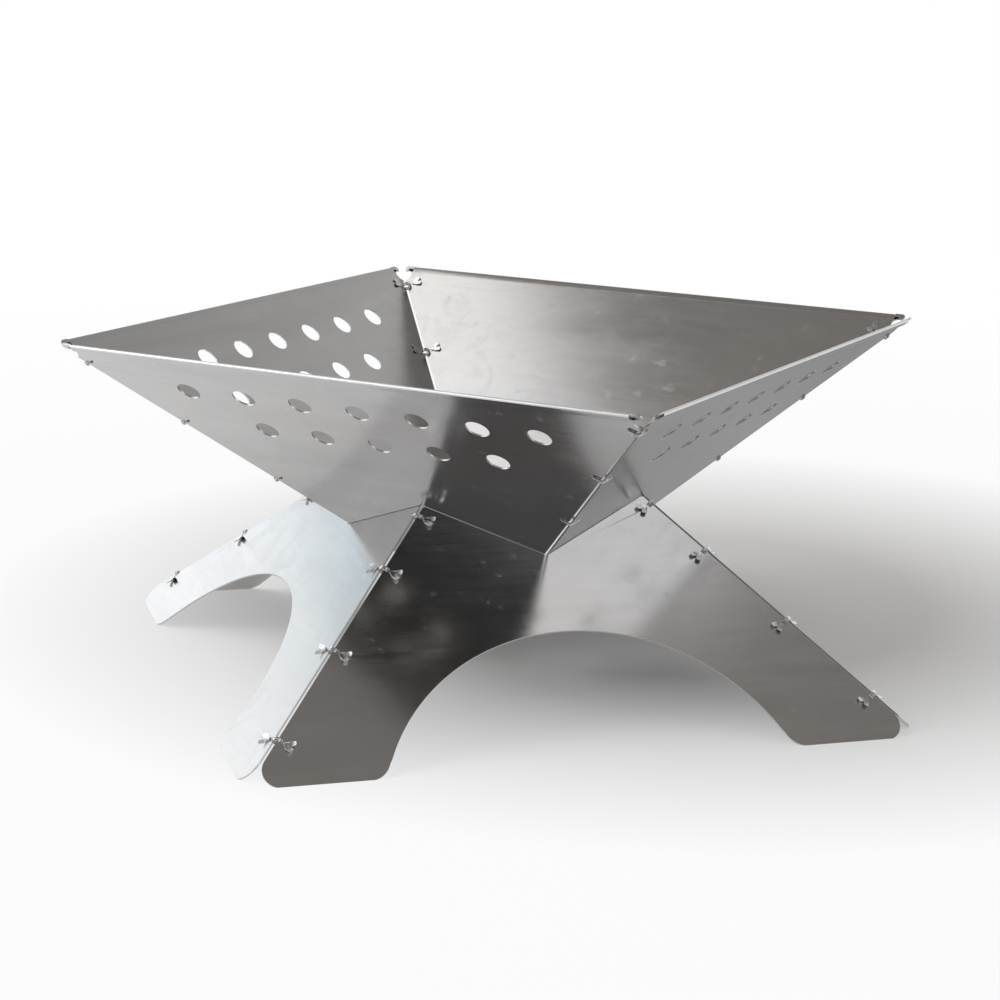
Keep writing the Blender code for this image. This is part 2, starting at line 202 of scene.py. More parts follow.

# Blue card beyond the left leg: a painted reflection, which glows and is seen only in reflections
BLUE_MIDDLE = math.radians(148)
BLUE_HALF = math.radians(16)
BLUE_FAR = 2.5
BLUE_LOW = 0.63
BLUE_HIGH = 1.5
BLUE_FADE = 0.06
BLUE_FOOT = (1.3, 1.3, 1.3, 1)
BLUE = (0.50, 0.66, 0.74, 1)


class Pyramid:
    """Four equal sheets about the Z axis: the bowl stands on its point and the base hangs from it."""

    def __init__(self, slope, half, z_half, sign, turn):
        self.slope, self.sign, self.turn = slope, sign, turn
        self.apex_z = z_half - sign * half * math.tan(slope)
        self.long = half / math.cos(slope)
        self.gamma = math.atan(math.cos(slope))
        self.dihedral = math.pi - math.acos(math.cos(slope) ** 2)
        self.depth = SHEET + AXIS_INSET
        self.axis_in = self.depth / math.tan(self.dihedral / 2)
        self.edge_in = self.axis_in + EDGE_BACK

    def frame(self, k):
        """Where sheet k lies: Y runs along it away from the apex, Z out of its outer face."""
        a = self.turn + k * math.pi / 2
        out = Vector((math.sin(a), -math.cos(a), 0))
        v = out * math.cos(self.slope) + Vector((0, 0, self.sign * math.sin(self.slope)))
        w = out * math.sin(self.slope) - Vector((0, 0, self.sign * math.cos(self.slope)))
        m = Matrix((v.cross(w), v, w)).transposed().to_4x4()
        m.translation = Vector((0, 0, self.apex_z))
        return m

    def edge(self, side, r, inward):
        """A point of the sheet: r from the apex along a hinge line and inward from that line."""
        return Vector((side * (math.sin(self.gamma) * r - math.cos(self.gamma) * inward),
                       math.cos(self.gamma) * r + math.sin(self.gamma) * inward, 0))

    def edge_r(self, v, inward):
        """How far along the hinge line the point of edge() lies whose Y is v."""
        return (v - math.sin(self.gamma) * inward) / math.cos(self.gamma)


BOWL = Pyramid(BOWL_SLOPE, RIM_HALF, HEIGHT, 1, 0.0)
BASE = Pyramid(BASE_SLOPE, GROUND_HALF, 0.0, -1, math.pi / 4)
BOWL_EYE_RADIUS = BOWL.depth + PIN_CLEAR + WIRE_THICK
PIN_OFFSET = (WIRE_WIDE + EYE_GAP) / 2


def crossing(z_low, slope_low, z_high, slope_high):
    """Radius and height at which a line that rises meets one that falls."""
    r = (z_high - z_low) / (slope_low + slope_high)
    return r, z_low + slope_low * r


def along(pyramid, r_flat, z):
    """How far a point at this radius and height is from the apex."""
    return math.hypot(r_flat, z - pyramid.apex_z)


# A leg's tip meets the middle of a bowl side, and a bowl corner rests in the dip between two legs
TIP = crossing(BOWL.apex_z, math.tan(BOWL_SLOPE), BASE.apex_z, math.tan(BASE_SLOPE) / ROOT2)
DIP = crossing(BOWL.apex_z, math.tan(BOWL_SLOPE) / ROOT2, BASE.apex_z, math.tan(BASE_SLOPE))
RIM_ALONG = along(BOWL, RIM_HALF * ROOT2, HEIGHT)
TIP_ALONG = along(BASE, *TIP)
BOWL_PINS = [RIM_ALONG + (along(BOWL, *DIP) - RIM_ALONG) * s for s in BOWL_PIN_SHARES]
FOOT_ALONG = along(BASE, GROUND_HALF * ROOT2, 0.0)
BASE_PINS = [TIP_ALONG + (FOOT_ALONG - TIP_ALONG) * s for s in BASE_PIN_SHARES]
TIP_PIN = TIP_ALONG + TIP_PIN_BELOW
TIP_PIN_PANELS = ("front", "back")
PANELS = ("front", "right", "back", "left")


# Meshes

def new_object(name, mesh):
    obj = bpy.data.objects.new(name, mesh)
    bpy.context.scene.collection.objects.link(obj)
    return obj


def evaluated_mesh(obj):
    """The object's mesh with its modifiers, or its curve filled in."""
    return bpy.data.meshes.new_from_object(obj.evaluated_get(bpy.context.evaluated_depsgraph_get()))


def mesh_of(bm, name):
    mesh = bpy.data.meshes.new(name)
    bm.to_mesh(mesh)
    bm.free()
    return mesh


def outline_mesh(name, loops, thick):
    """A closed plate from flat loops, the first the outside, spread to both sides of its own plane."""
    curve = bpy.data.curves.new(name, "CURVE")
    curve.dimensions = "2D"
    curve.fill_mode = "BOTH"
    curve.extrude = thick / 2
    for pts in loops:
        s = curve.splines.new("POLY")
        s.points.add(len(pts) - 1)
        for p, q in zip(s.points, pts):
            p.co = (q[0], q[1], 0, 1)
        s.use_cyclic_u = True
    obj = new_object(name, curve)
    mesh = evaluated_mesh(obj)
    bpy.data.objects.remove(obj)
    bpy.data.curves.remove(curve)
    bm = bmesh.new()
    bm.from_mesh(mesh)
    bmesh.ops.remove_doubles(bm, verts=bm.verts, dist=MERGE)
    bmesh.ops.recalc_face_normals(bm, faces=bm.faces)
    bm.to_mesh(mesh)
    bm.free()
    return mesh


def without(mesh, tool_mesh):
    """The mesh with the other one's volume cut away."""
    work, tool = new_object("work", mesh), new_object("tool", tool_mesh)
    mod = work.modifiers.new("cut", "BOOLEAN")
    mod.solver, mod.operation, mod.object = "EXACT", "DIFFERENCE", tool
    out = evaluated_mesh(work)
    bpy.data.objects.remove(work)
    bpy.data.objects.remove(tool)
    return out


def joined(meshes):
    bm = bmesh.new()
    for m in meshes:
        bm.from_mesh(m)
    return mesh_of(bm, "joined")


def rounded_edges(mesh, width, sharp):
    """The mesh with its edges sharper than this angle rounded off."""
    obj = new_object("edges", mesh)
    mod = obj.modifiers.new("edges", "BEVEL")
    mod.width, mod.segments = width, EDGE_SEGMENTS
    mod.limit_method, mod.angle_limit = "ANGLE", sharp
    mod.use_clamp_overlap = False
    mod.harden_normals = True
    for p in mesh.polygons:
        p.use_smooth = True
    out = evaluated_mesh(obj)
    bpy.data.objects.remove(obj)
    return out


def ring(cx, cy, radius, sides):
    """Corners of a regular polygon that stands for a circle."""
    step = 2 * math.pi / sides
    turns = [i * step for i in range(sides)]
    return [(cx + radius * math.cos(t), cy + radius * math.sin(t)) for t in turns]


def rounded(prev, corner, after, radius, steps):
    """Points of a fillet at a corner of an outline."""
    a, b = (prev - corner).normalized(), (after - corner).normalized()
    half = a.angle(b) / 2
    centre = corner + (a + b).normalized() * radius / math.sin(half)
    p, q = corner + a * radius / math.tan(half), corner + b * radius / math.tan(half)
    e0, e1 = p - centre, q - centre
    sweep = e0.angle(e1)
    turn = 1 if e0.x * e1.y - e0.y * e1.x > 0 else -1
    pts = []
    for i in range(steps + 1):
        t = turn * sweep * i / steps
        pts.append(centre + Vector((e0.x * math.cos(t) - e0.y * math.sin(t),
                                    e0.x * math.sin(t) + e0.y * math.cos(t), 0)))
    return pts


def notch_depth(eye_radius):
    """How far a slot goes in past the hinge axis, so that a pin's eye clears the sheet."""
    return math.sqrt(eye_radius ** 2 - AXIS_INSET ** 2) + NOTCH_CLEAR


def notches(pyramid, side, stations, deep):
    """Outline points of the slots in a hinge edge, each wide enough for two eyes side by side."""
    half = WIRE_WIDE + EYE_GAP / 2 + NOTCH_CLEAR
    low, high = pyramid.edge_in, pyramid.axis_in + deep
    pts = []
    for r in sorted(stations):
        for dr, inward in ((-half, low), (-half, high), (half, high), (half, low)):
            pts.append(pyramid.edge(side, r + dr, inward))
    return pts


def pin_holes(pyramid, side, stations, reach):
    """Outlines of the holes in which the legs of the pins go through the sheet."""
    radius = math.hypot(WIRE_WIDE, WIRE_THICK) / 2 + PIN_HOLE_CLEAR
    loops = []
    for r in stations:
        c = pyramid.edge(side, r + side * PIN_OFFSET, pyramid.axis_in + reach)
        loops.append(ring(c.x, c.y, radius, PIN_HOLE_SIDES))
    return loops


def bowl_outline(side, deep):
    """One half of a bowl sheet: bottom, slotted hinge edge, relief and the ear at the rim."""
    low = BOWL.edge_in
    bottom = BOWL.edge(side, BOWL.edge_r(BOTTOM_HALF / math.cos(BOWL_SLOPE), low), low)
    tip_r = BOWL.edge_r(BOWL.long, low)
    pts = [bottom] + notches(BOWL, side, BOWL_PINS, deep)
    mid = tip_r - EAR_LONG - RELIEF_LONG / 2
    for i in range(RELIEF_STEPS + 1):
        a = math.pi * i / RELIEF_STEPS
        r = mid - RELIEF_LONG / 2 * math.cos(a)
        pts.append(BOWL.edge(side, r, low + EAR_BACK * i / RELIEF_STEPS + RELIEF_DEEP * math.sin(a)))
    tip = BOWL.edge(side, BOWL.edge_r(BOWL.long, low + EAR_BACK), low + EAR_BACK)
    pts += rounded(pts[-1], tip, Vector((0, BOWL.long, 0)), EAR_ROUND, EAR_STEPS)
    return pts


def hem_mesh():
    """The folded rim: the sheet turns over at the top and comes down outside."""
    top = BOWL.long
    mid_w, radius = (HEM_OUT - SHEET) / 2, (HEM_OUT + SHEET) / 2
    foot = top - HEM_HIGH + SEAM
    # A tongue inside the sheet keeps light out of the seam below the strip
    shallow, deep = (share * SHEET for share in TONGUE_SHARES)
    flat = [(foot, -SHEET), (foot, -deep), (foot - HEM_TONGUE, -deep),
            (foot - HEM_TONGUE, -shallow), (foot, -shallow), (foot, 0.0), (top - radius, 0.0),
            (top - radius, GROOVE), (foot, GROOVE), (foot, HEM_OUT)]
    for i in range(HEM_STEPS + 1):
        a = math.pi * i / HEM_STEPS
        flat.append((top - radius + radius * math.sin(a), mid_w + radius * math.cos(a)))
    mesh = outline_mesh("hem", [flat], 2 * (RIM_HALF - HEM_STOP))
    mesh.transform(Matrix(((0, 0, 1, 0), (1, 0, 0, 0), (0, 1, 0, 0), (0, 0, 0, 1))))
    return mesh


def leaned(mesh):
    """Tips the strip along the rim outward, which puts a crease under it."""
    bm = bmesh.new()
    bm.from_mesh(mesh)
    bend_v = BOWL.long - HEM_HIGH
    bmesh.ops.bisect_plane(bm, geom=bm.verts[:] + bm.edges[:] + bm.faces[:], dist=MERGE,
                           plane_co=(0, bend_v, 0), plane_no=(0, 1, 0))
    for v in bm.verts:
        v.co.z += HEM_LEAN * max(0.0, v.co.y - bend_v) / HEM_HIGH
    bm.to_mesh(mesh)
    bm.free()
    return mesh


def bowl_panel_mesh(sides, has_vents):
    """A bowl sheet with its pin holes, vents and folded rim."""
    right, left = bowl_outline(1, sides[0][1]), bowl_outline(-1, sides[1][1])
    # The sheet is cut back where the fold takes over, so the ears alone keep the flat top
    half, low_v = RIM_HALF - HEM_STOP + SEAM, BOWL.long - HEM_HIGH
    step = [Vector((half, BOWL.long, 0)), Vector((half, low_v, 0)),
            Vector((-half, low_v, 0)), Vector((-half, BOWL.long, 0))]
    loops = [right + step + left[::-1]]
    for side, _, reach, carried in sides:
        loops += pin_holes(BOWL, side, carried, reach)
    if has_vents:
        for count, down in zip(VENT_COUNTS, VENT_DOWN):
            for i in range(count):
                across = (i - (count - 1) / 2) * VENT_PITCH
                loops.append(ring(across, BOWL.long - down, VENT_RADIUS, VENT_SIDES))
    mesh = outline_mesh("bowl", loops, SHEET)
    mesh.transform(Matrix.Translation((0, 0, -SHEET / 2)))
    return leaned(joined([mesh, hem_mesh()]))


def seat_line():
    """The line a x + b y = c on a base sheet along which the bowl rests on it."""
    base, bowl = BASE.frame(0), BOWL.frame(0)
    normal = bowl.to_3x3() @ Vector((0, 0, 1))
    local = base.to_3x3().transposed() @ normal
    apart = normal.dot(base.translation - bowl.translation)
    return local.x, local.y, SEAT_GAP + max(0.0, SHEET * local.z) - apart


def base_outline(side, deep):
    """One half of a base sheet: dip, tip, slotted hinge edge, foot and arch."""
    a, b, c = seat_line()
    low = BASE.edge_in
    dip = Vector((0, c / b, 0))
    p0, p1 = BASE.edge(side, 0, low), BASE.edge(side, 1, low)
    a *= side
    slide = p1 - p0
    tip = BASE.edge(side, (c - a * p0.x - b * p0.y) / (a * slide.x + b * slide.y), low)
    foot_v = BASE.long + GROUND_TRIM
    foot = BASE.edge(side, BASE.edge_r(foot_v, low), low)
    centre = BASE.long - ARCH_HIGH + ARCH_RADIUS
    inner_u = math.sqrt(ARCH_RADIUS ** 2 - (centre - foot_v) ** 2)
    inner = Vector((side * inner_u, foot_v, 0))
    start = math.atan2(inner_u, centre - foot_v)
    arch = []
    for i in range(ARCH_STEPS + 1):
        t = start * i / ARCH_STEPS
        arch.append(Vector((side * ARCH_RADIUS * math.sin(t), centre - ARCH_RADIUS * math.cos(t), 0)))
    up = inner + Vector((-side * math.cos(start), -math.sin(start), 0))
    pts = [dip] if side > 0 else []
    pts += rounded(dip, tip, foot, TIP_ROUND, TIP_STEPS)
    pts += notches(BASE, side, [TIP_PIN] + BASE_PINS, deep)
    pts += rounded(tip, foot, inner, FOOT_OUTER_ROUND, FOOT_OUTER_STEPS)
    fillet = rounded(foot, inner, up, FOOT_INNER_ROUND, FOOT_INNER_STEPS)
    pts += fillet
    # The arch's middle point belongs to the right half only
    clear = fillet[-1].y - ARCH_BLEND
    return pts + [p for p in reversed(arch) if p.y < clear and (side > 0 or p.x < -TINY)]


def base_panel_mesh(sides, frame_m):
    """A base sheet, whose feet are cut level where they stand on the ground."""
    right, left = base_outline(1, sides[0][1]), base_outline(-1, sides[1][1])
    loops = [right + left[::-1]]
    for side, _, reach, carried in sides:
        loops += pin_holes(BASE, side, carried, reach)
    mesh = outline_mesh("base", loops, SHEET)
    mesh.transform(Matrix.Translation((0, 0, -SHEET / 2)))
    bm = bmesh.new()
    bmesh.ops.create_cube(bm, size=1.0)
    below = frame_m.inverted() @ Matrix.Translation((0, 0, -0.5))
    bmesh.ops.transform(bm, matrix=below, verts=bm.verts)
    return without(mesh, mesh_of(bm, "ground"))


# Split pins

def eye_outline(radius, arm_low, arm_high, reach, leg_end):
    """Side view of a pin: a ring on the hinge axis, an arm along the sheet and a leg through it."""
    half = WIRE_THICK / 2
    a_low, a_high = math.asin(arm_low / radius), math.asin(min(1.0, arm_high / radius))
    sweep = 2 * math.pi - (a_high - a_low)
    near, far = half * PIN_BEND_SHARE, half * (1 - PIN_BEND_SHARE)
    pts = []
    for i in range(EYE_STEPS + 1):
        t = a_high + sweep * i / EYE_STEPS
        pts.append((radius * math.cos(t), radius * math.sin(t)))
    if leg_end > arm_high:
        bend = [(reach + near, arm_low), (reach + half, arm_low + far)]
        pts += bend + [(reach + half, leg_end), (reach - half, leg_end), (reach - half, arm_high)]
    else:
        bend = [(reach + half, arm_high - far), (reach + near, arm_high)]
        pts += [(reach - half, arm_low), (reach - half, leg_end), (reach + half, leg_end)] + bend
    return pts


def tab_mesh(reach, tab_n, s, curl, rise):
    """One flattened leg end, splayed to one side, with a rounded tip that stands off the sheet."""
    half = TAB_WIDE / 2
    d = Vector((math.cos(TAB_SPLAY), s * math.sin(TAB_SPLAY), 0))
    n = Vector((-d.y, d.x, 0))
    neck = [(x * half, y * half) for x, y in TAB_NECK]
    end = TAB_LONG - TAB_ROUND
    flat = [(x, -y) for x, y in neck] + [(end, -half)]
    for i in range(1, TAB_STEPS):
        t = -math.pi / 2 + math.pi * i / TAB_STEPS
        flat.append((end + TAB_ROUND * math.cos(t), half * math.sin(t)))
    flat += [(end, half)] + neck[::-1]
    mesh = outline_mesh("tab", [flat], TAB_THICK)
    bm = bmesh.new()
    bm.from_mesh(mesh)
    for cut_share in TAB_CUT_SHARES:
        bmesh.ops.bisect_plane(bm, geom=bm.verts[:] + bm.edges[:] + bm.faces[:],
                               plane_co=(TAB_LONG * cut_share, 0, 0), plane_no=(1, 0, 0))
    for v in bm.verts:
        share = max(0.0, v.co.x / TAB_LONG - TAB_FLAT_SHARE) / (1 - TAB_FLAT_SHARE)
        v.co.z += curl * share * share + rise * share
    bm.to_mesh(mesh)
    bm.free()
    basis = Matrix((d, n, Vector((0, 0, 1)))).transposed().to_4x4()
    basis.translation = Vector((reach, 0, 0))
    mesh.transform(Matrix.Translation((0, tab_n, 0)) @ Matrix.Rotation(math.pi / 2, 4, "X") @ basis)
    return mesh


def pin_mesh(radius, arm_low, arm_high, tab_n, reach):
    """A split pin: two rounded wires side by side, each ending in a tab."""
    wide = WIRE_WIDE / 2 - SPLIT_GAP / 2
    flat = eye_outline(radius, arm_low, arm_high, reach, tab_n)
    hole = ring(0, 0, radius - WIRE_THICK, EYE_HOLE_SIDES)
    parts = []
    for s in (1, -1):
        half = outline_mesh("pin", [flat, hole], wide)
        half.transform(Matrix.Translation((0, 0, s * (wide + SPLIT_GAP) / 2)))
        parts.append(half)
        bend = (-BASE_TAB_CURL, -BASE_TAB_RISE) if tab_n > arm_high else (BOWL_TAB_CURL, 0.0)
        tab = tab_mesh(reach, tab_n, s, *bend)
        for face in tab.polygons:
            face.material_index = 1
        parts.append(tab)
    return rounded_edges(joined(parts), PIN_ROUND, PIN_SHARP)


def pin_matrix(pyramid, side, r):
    """Where a pin lies on its sheet: its eye on the hinge axis, X along the arm, Y out of the sheet."""
    p_dir, n_dir = pyramid.edge(side, 0, 1), Vector((0, 0, 1))
    m = Matrix((p_dir, n_dir, p_dir.cross(n_dir))).transposed().to_4x4()
    m.translation = pyramid.edge(side, r + side * PIN_OFFSET, pyramid.axis_in) - n_dir * pyramid.depth
    return m


# Materials

class Nodes:
    """Short calls to add and link shader nodes."""

    def __init__(self, tree):
        self.tree = tree
        tree.nodes.clear()

    def add(self, kind, **values):
        n = self.tree.nodes.new(kind)
        for key, value in values.items():
            if key.startswith("in_"):
                n.inputs[int(key[3:])].default_value = value
            else:
                setattr(n, key, value)
        return n

    def link(self, a, b):
        self.tree.links.new(a, b)

    def noise(self, vector, scale, detail, rough, distortion=0.0):
        n = self.add("ShaderNodeTexNoise")
        n.inputs["Scale"].default_value = scale
        n.inputs["Detail"].default_value = detail
        n.inputs["Roughness"].default_value = rough
        n.inputs["Distortion"].default_value = distortion
        self.link(vector, n.inputs["Vector"])
        return n.outputs["Fac"]

    def remap(self, value, a, b, c, d):
        n = self.add("ShaderNodeMapRange")
        for i, x in enumerate((a, b, c, d), 1):
            n.inputs[i].default_value = x
        self.link(value, n.inputs[0])
        return n.outputs[0]

    def math(self, op, a, b):
        n = self.add("ShaderNodeMath", operation=op)
        for i, x in enumerate((a, b)):
            if isinstance(x, (int, float)):
                n.inputs[i].default_value = x
            else:
                self.link(x, n.inputs[i])
        return n.outputs[0]

    def mix(self, fac, a, b):
        n = self.add("ShaderNodeMix", data_type="RGBA")
        for i, x in ((0, fac), (6, a), (7, b)):
            if hasattr(x, "links"):
                self.link(x, n.inputs[i])
            else:
                n.inputs[i].default_value = x
        return n.outputs[2]

    def place(self):
        """The point's own place on the piece, in metres."""
        return self.add("ShaderNodeTexCoord").outputs["Object"]

    def surface(self, shader, kind="ShaderNodeOutputMaterial"):
        self.link(shader, self.add(kind).inputs[0])

    def scaled(self, vector, scale, rotation=(0, 0, 0)):
        n = self.add("ShaderNodeMapping", vector_type="POINT")
        n.inputs["Rotation"].default_value = rotation
        n.inputs["Scale"].default_value = scale
        self.link(vector, n.inputs["Vector"])
        return n.outputs[0]

    def bump(self, height, strength, distance, normal=None):
        n = self.add("ShaderNodeBump")
        n.inputs["Strength"].default_value = strength
        n.inputs["Distance"].default_value = distance
        self.link(height, n.inputs["Height"])
        if normal is not None:
            self.link(normal, n.inputs["Normal"])
        return n.outputs[0]


def new_material(name):
    m = bpy.data.materials.new(name)
    m.use_nodes = True
    return m, Nodes(m.node_tree)


def finish_metal(t, colour, rough, normal):
    b = t.add("ShaderNodeBsdfPrincipled")
    b.inputs["Metallic"].default_value = 1.0
    t.link(colour, b.inputs["Base Color"])
    t.link(rough, b.inputs["Roughness"])
    t.link(normal, b.inputs["Normal"])
    t.surface(b.outputs[0])


def scratches(t, base, tilt, scale, low):
    """Straight hairlines at a tilt to the grain: 1 on a line and 0 beside it."""
    value = t.noise(t.scaled(base, scale, (0, 0, tilt)), 1.0, 1.0, 0.4)
    return t.remap(value, low, low + 0.08, 0.0, 1.0)


def sheet_steel(name, frame_m, seed):
    """Bright rolled stainless sheet, with grain across the panel, mill clouding, smudges and hairlines."""
    m, t = new_material(name)
    turn = frame_m.to_3x3().inverted().to_euler()
    moved = t.add("ShaderNodeVectorMath", operation="ADD")
    t.link(t.scaled(t.place(), (1, 1, 1), turn), moved.inputs[0])
    moved.inputs[1].default_value = (seed * 1.37, seed * 0.71, seed * 0.29)
    base = moved.outputs[0]
    grain = t.noise(t.scaled(base, (26, 2600, 26)), 1.0, 2.0, 0.6)
    fine = t.noise(t.scaled(base, (140, 5200, 140)), 1.0, 1.0, 0.5)
    cloud = t.noise(t.scaled(base, (7, 30, 12)), 1.0, 4.0, 0.62, 0.6)
    broad = t.noise(base, 5.0, 2.0, 0.5)
    smudge = t.remap(t.noise(base, 24.0, 5.0, 0.68, 1.6), 0.52, 0.74, 0.0, 1.0)
    drops = t.remap(t.noise(base, 95.0, 2.0, 0.4), 0.66, 0.74, 0.0, 1.0)
    lines = t.math("MAXIMUM", scratches(t, base, 0.5, (3200, 9, 40), 0.70),
                   scratches(t, base, -0.9, (2700, 12, 40), 0.71))
    tone = t.remap(cloud, 0.3, 0.7, 0.0, 1.0)
    colour = t.mix(tone, *PLAIN_STEEL)
    colour = t.mix(t.remap(broad, 0.38, 0.66, 0.0, 0.55), colour, WARM_STEEL)
    colour = t.mix(t.math("MULTIPLY", smudge, 0.12), colour, SMUDGE)
    colour = t.mix(t.math("MULTIPLY", lines, 0.35), colour, SCRATCH)
    rough = t.remap(grain, 0.3, 0.7, SHEET_ROUGH - 0.025, SHEET_ROUGH + 0.035)
    for marks, extra in ((smudge, 0.05), (tone, 0.03), (drops, 0.06)):
        rough = t.math("ADD", rough, t.math("MULTIPLY", marks, extra))
    normal = t.bump(broad, 0.4, 0.0005)
    normal = t.bump(cloud, 0.2, 0.00008, normal)
    normal = t.bump(t.math("ADD", grain, t.math("MULTIPLY", fine, 0.6)), 0.35, 0.000012, normal)
    normal = t.bump(lines, -0.3, 0.00002, normal)
    finish_metal(t, colour, rough, normal)
    return m


def cut_edge_steel():
    """The cut edges of the sheets: paler, rougher and patchy."""
    m, t = new_material("cut_edge_steel")
    coord = t.place()
    stripes = t.noise(coord, 2400.0, 2.0, 0.6)
    patches = t.noise(coord, 60.0, 3.0, 0.6)
    colour = t.mix(patches, *CUT_STEEL)
    rough = t.remap(stripes, 0.3, 0.7, 0.26, 0.44)
    finish_metal(t, colour, rough, t.bump(stripes, 0.5, 0.00003))
    return m


def bent_steel_painted_highlight():
    """The round top of the fold, where the stretched sheet has lost its gloss; its paler colour is a
    painted highlight along the rim.
    """
    m, t = new_material("bent_steel_painted_highlight")
    coord = t.place()
    peel = t.noise(coord, 900.0, 3.0, 0.6)
    rubs = t.noise(coord, 35.0, 3.0, 0.6)
    # Painted highlight: the fold top is paler than the sheet
    colour = t.mix(rubs, *BENT_STEEL_PAINTED_HIGHLIGHT)
    rough = t.math("ADD", t.remap(peel, 0.3, 0.7, 0.36, 0.46), t.math("MULTIPLY", rubs, 0.05))
    finish_metal(t, colour, rough, t.bump(peel, 0.3, 0.00002))
    return m


def wire_steel():
    """Bright drawn wire with a fine grain and small dull spots."""
    m, t = new_material("wire_steel")
    coord = t.place()
    fine = t.noise(coord, 1900.0, 2.0, 0.6)
    spots = t.noise(coord, 420.0, 3.0, 0.6, 0.8)
    tone = t.remap(spots, 0.36, 0.66, 0.0, 1.0)
    colour = t.mix(tone, *WIRE_STEEL)
    rough = t.remap(fine, 0.3, 0.7, 0.12, 0.24)
    rough = t.math("ADD", rough, t.math("MULTIPLY", tone, 0.05))
    normal = t.bump(spots, 0.4, 0.00008)
    finish_metal(t, colour, rough, t.bump(fine, 0.3, 0.00001, normal))
    return m


def flattened_steel_painted_highlight():
    """The flattened ends of the wire: satin from the die, with a few dull marks; their paler colour is a
    painted highlight.
    """
    m, t = new_material("flattened_steel_painted_highlight")
    coord = t.place()
    fine = t.noise(coord, 2300.0, 2.0, 0.6)
    marks = t.noise(coord, 300.0, 3.0, 0.6, 0.5)
    tone = t.remap(marks, 0.38, 0.64, 0.0, 1.0)
    # Painted highlight: the tabs are paler than the wire
    colour = t.mix(tone, *FLAT_STEEL_PAINTED_HIGHLIGHT)
    rough = t.math("ADD", t.remap(fine, 0.3, 0.7, 0.40, 0.52), t.math("MULTIPLY", tone, 0.06))
    finish_metal(t, colour, rough, t.bump(fine, 0.4, 0.000015, t.bump(marks, 0.3, 0.00005)))
    return m


# Pieces

def finish_piece(obj, body, node):
    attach(obj, body)
    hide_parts(node)


def set_materials(mesh, *materials):
    mesh.materials.clear()
    for material in materials:
        mesh.materials.append(material)


def build_panel(node, mesh, frame_m, has_fold, materials):
    """A sheet, its cut edges and, on the bowl, the round top of the fold, each in its own steel; the fold
    top's paler steel is a painted highlight.
    """
    mesh = rounded_edges(mesh, EDGE_ROUND, SHEET_SHARP)
    set_materials(mesh, *materials)
    for p in mesh.polygons:
        lean = abs(p.normal.z)
        on_rim = p.center.y > BOWL.long - HEM_HIGH - MM and abs(p.center.x) < RIM_HALF - HEM_STOP
        if has_fold and on_rim:
            p.material_index = 2 if lean < FOLD_TOP_LEAN and p.normal.y > 0 else 0
        else:
            p.material_index = 1 if lean < CUT_EDGE_LEAN else 0
    mesh.transform(frame_m)
    finish_piece(new_object(f"sheet_{node}", mesh), node, node)


def build_group(label, pyramid, stations, pin_args, corner_names, steels):
    """The four sheets of the bowl or the base, each with the pins that it carries."""
    edge_steel, fold_highlight_steel, wire, tab_highlight_steel = steels
    for k, name in enumerate(PANELS):
        frame_m = pyramid.frame(k)
        carried = list(stations)
        if pyramid is BASE and name in TIP_PIN_PANELS:
            carried.append(TIP_PIN)
        sides = []
        for side in (1, -1):
            is_open = side == OPEN_SIDES[label][name]
            deep = notch_depth(pin_args[0]) + (OPEN_EDGE_EXTRA if is_open and name == "back" else 0)
            sides.append((side, deep, PIN_REACH + (OPEN_EDGE_EXTRA if is_open else 0), carried))
        node = f"{label}_{name}"
        if pyramid is BASE:
            mesh = base_panel_mesh(sides, frame_m)
        else:
            mesh = bowl_panel_mesh(sides, name != "back")
        steel = sheet_steel(f"steel_{node}", frame_m, FIRST_SEED[label] + k)
        build_panel(node, mesh, frame_m, pyramid is BOWL, (steel, edge_steel, fold_highlight_steel))
        for side, _, reach, carried in sides:
            corner = corner_names[k % 4] if side == pyramid.sign else corner_names[(k - 1) % 4]
            for i, r in enumerate(carried):
                pin = pin_mesh(*pin_args, reach)
                pin.transform(frame_m @ pin_matrix(pyramid, side, r))
                set_materials(pin, wire, tab_highlight_steel)
                cad = f"pin_{node}_{corner}_{'tip' if r == TIP_PIN else i + 1}"
                finish_piece(new_object(f"split_{cad}", pin), node, cad)


def build_object():
    steels = (cut_edge_steel(), bent_steel_painted_highlight(), wire_steel(), flattened_steel_painted_highlight())
    base_tab = BASE.depth + PIN_CLEAR + TAB_THICK / 2
    bowl_tab = AXIS_INSET - PIN_CLEAR - TAB_THICK / 2
    build_group("base", BASE, BASE_PINS, (BASE_EYE_RADIUS, -WIRE_THICK / 2, WIRE_THICK / 2, base_tab),
                ("leg_right", "leg_back", "leg_left", "leg_front"), steels)
    build_group("bowl", BOWL, BOWL_PINS,
                (BOWL_EYE_RADIUS, BOWL_EYE_RADIUS - WIRE_THICK, BOWL_EYE_RADIUS, bowl_tab),
                ("corner_front", "corner_right", "corner_back", "corner_left"), steels)


# Studio

def add_camera():
    cam = bpy.data.cameras.new("camera")
    obj = new_object("camera", cam)
    az, el, roll = CAMERA_AZIMUTH, CAMERA_HEIGHT, CAMERA_ROLL
    back = Vector((math.sin(az) * math.cos(el), -math.cos(az) * math.cos(el), math.sin(el)))
    right = (-back).cross(Vector((0, 0, 1))).normalized()
    up = right.cross(-back)
    x = right * math.cos(roll) + up * math.sin(roll)
    y = -right * math.sin(roll) + up * math.cos(roll)
    m = Matrix((x, y, back)).transposed().to_4x4()
    m.translation = CAMERA_TARGET + back * CAMERA_DISTANCE
    obj.matrix_world = m
    cam.lens, cam.sensor_width = CAMERA_LENS, CAMERA_SENSOR
    cam.shift_x = CAMERA_SHIFT
    cam.clip_start, cam.clip_end = CAMERA_CLIP
    bpy.context.scene.camera = obj


